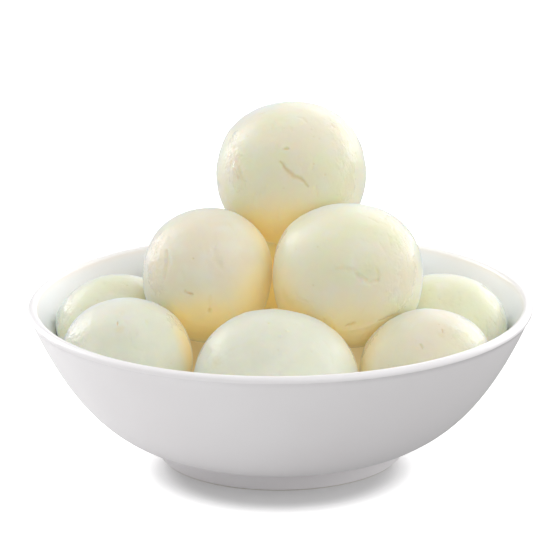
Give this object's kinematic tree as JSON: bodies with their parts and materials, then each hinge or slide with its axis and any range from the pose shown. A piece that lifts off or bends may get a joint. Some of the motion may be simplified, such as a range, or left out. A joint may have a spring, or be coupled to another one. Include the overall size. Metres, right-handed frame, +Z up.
{
  "type": "bowl of rasgulla",
  "caption": "White flared porcelain bowl on a low foot ring, heaped with round spongy milk sweets in a ring, a middle layer and one on top.",
  "frame": {"origin": "middle of the foot ring's underside", "axes": "+Z up along the bowl's axis, +Y away from the side seen first, +X to that side's right"},
  "size_m": [0.165, 0.165, 0.1129],
  "materials": {
    "porcelain": "glossy white glaze",
    "chhena": "moist spongy cream, thin syrup on it"
  },
  "bodies": {
    "root": {"bowl": "porcelain", "rasgulla_top": "chhena", "rasgulla_middle_left": "chhena", "rasgulla_middle_right": "chhena", "rasgulla_middle_back": "chhena", "rasgulla_front": "chhena", "rasgulla_front_left": "chhena", "rasgulla_front_right": "chhena", "rasgulla_left": "chhena", "rasgulla_right": "chhena", "rasgulla_back_left": "chhena", "rasgulla_back_right": "chhena", "rasgulla_centre": "chhena"}
  },
  "joints": []
}
